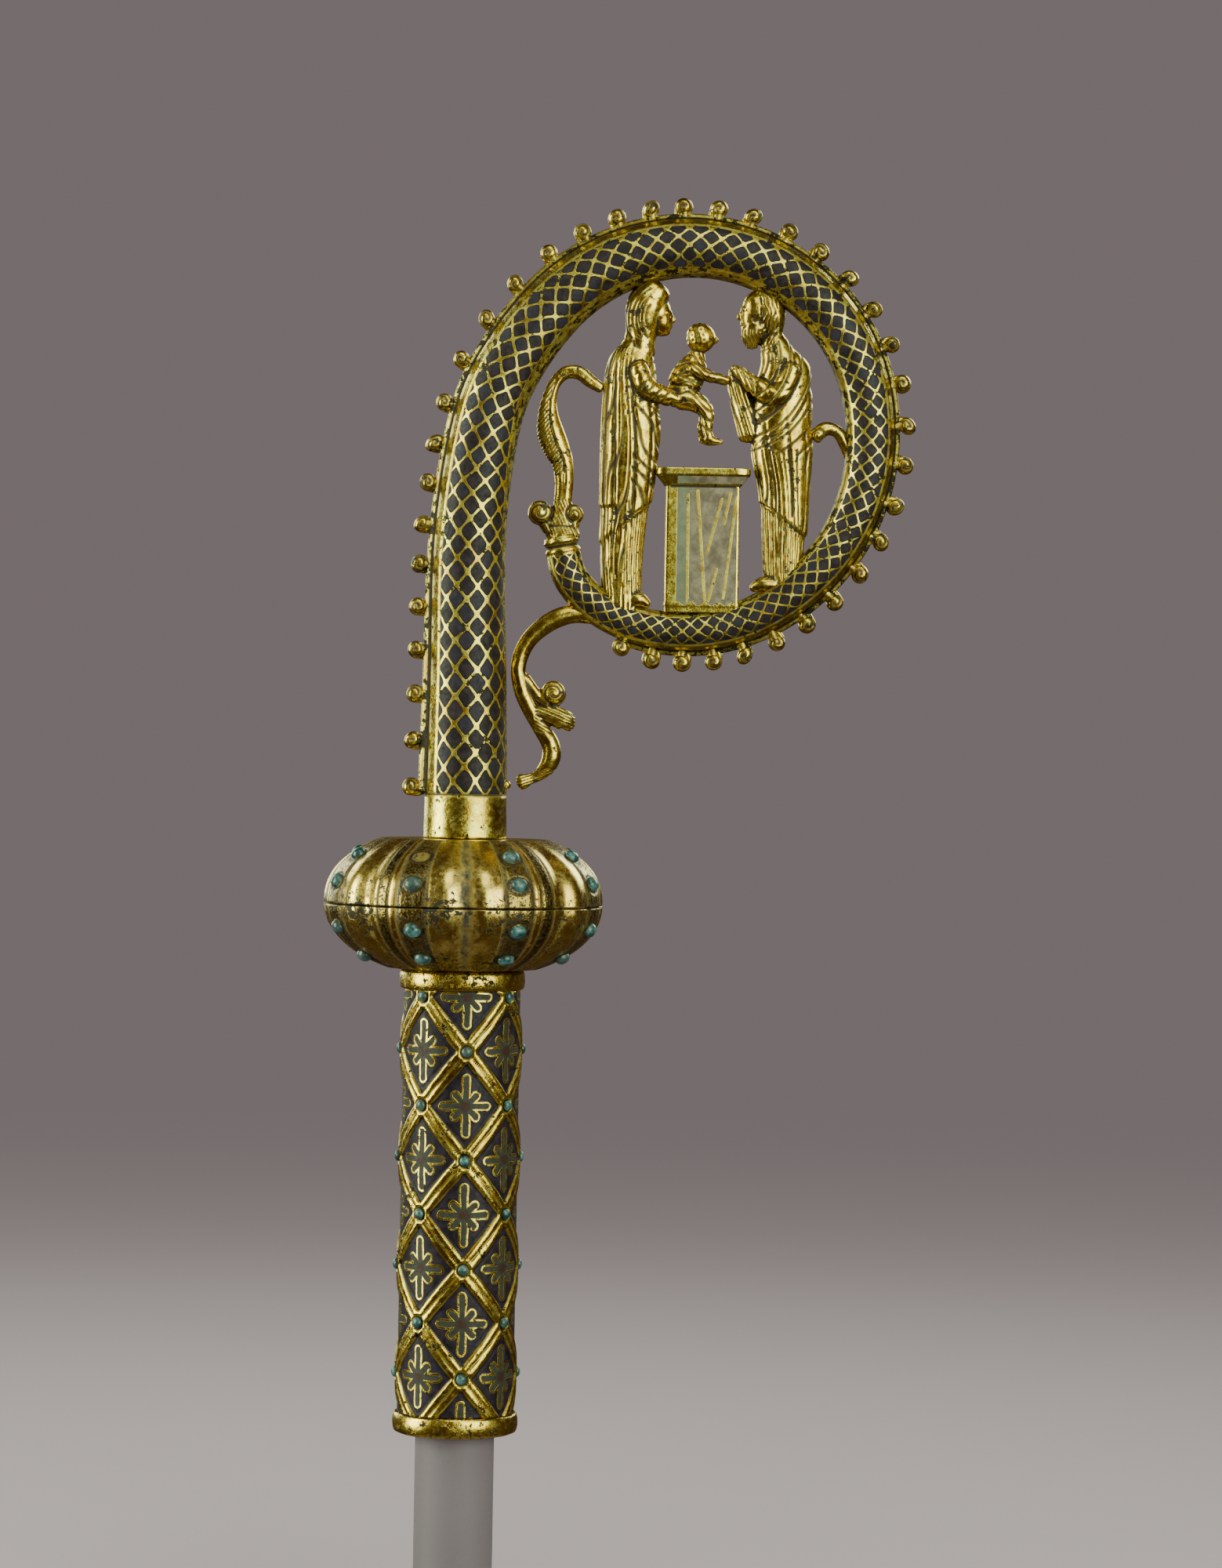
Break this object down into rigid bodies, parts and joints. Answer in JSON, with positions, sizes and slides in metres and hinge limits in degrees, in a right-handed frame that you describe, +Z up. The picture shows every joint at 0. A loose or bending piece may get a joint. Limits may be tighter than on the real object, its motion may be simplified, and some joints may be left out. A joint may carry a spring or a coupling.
{
  "type": "crosier head on a display rod",
  "caption": "Crosier head with a tapering volute edged by crockets, figures beside an altar inside it, a lobed knop and a latticed socket, upright on a rod with a low round foot.",
  "frame": {"origin": "centre of the display foot's underside", "axes": "+Z up along the rod, socket and knop; +X the side to which the volute curls; the front seen in the picture faces -Y"},
  "size_m": [0.1682, 0.12, 0.3636],
  "materials": {
    "grey_paint": "matt light grey paint",
    "gilt_copper": "worn gilding on copper, dark in the recesses",
    "enamelled_copper": "gilt net lines round dark slate-blue enamel",
    "pale_enamel": "grey-green enamel with gilt edges and lines",
    "turquoise_glass": "opaque turquoise glass, glossy and slightly crazed"
  },
  "bodies": {
    "root": {"display_foot": "grey_paint", "display_rod": "grey_paint", "socket": "enamelled_copper", "knop_lower": "gilt_copper", "knop_upper": "gilt_copper", "crook": "enamelled_copper", "terminal_leaf": "gilt_copper", "side_scroll": "gilt_copper", "bracket_scroll": "gilt_copper", "figure_with_child": "gilt_copper", "bearded_figure": "gilt_copper", "altar": "pale_enamel", "knop_bead_1_1": "turquoise_glass", "knop_bead_1_2": "turquoise_glass", "knop_bead_1_3": "turquoise_glass", "knop_bead_1_4": "turquoise_glass", "knop_bead_2_1": "turquoise_glass", "knop_bead_2_2": "turquoise_glass", "knop_bead_2_3": "turquoise_glass", "knop_bead_2_4": "turquoise_glass", "knop_bead_3_1": "turquoise_glass", "knop_bead_3_2": "turquoise_glass", "knop_bead_3_3": "turquoise_glass", "knop_bead_3_4": "turquoise_glass", "knop_bead_4_1": "turquoise_glass", "knop_bead_4_2": "turquoise_glass", "knop_bead_4_3": "turquoise_glass", "knop_bead_4_4": "turquoise_glass", "knop_bead_5_1": "turquoise_glass", "knop_bead_5_2": "turquoise_glass", "knop_bead_5_3": "turquoise_glass", "knop_bead_5_4": "turquoise_glass", "knop_bead_6_1": "turquoise_glass", "knop_bead_6_2": "turquoise_glass", "knop_bead_6_3": "turquoise_glass", "knop_bead_6_4": "turquoise_glass", "knop_bead_7_1": "turquoise_glass", "knop_bead_7_2": "turquoise_glass", "knop_bead_7_3": "turquoise_glass", "knop_bead_7_4": "turquoise_glass", "knop_bead_8_2": "turquoise_glass", "knop_bead_8_3": "turquoise_glass", "knop_bead_8_4": "turquoise_glass"}
  },
  "joints": []
}
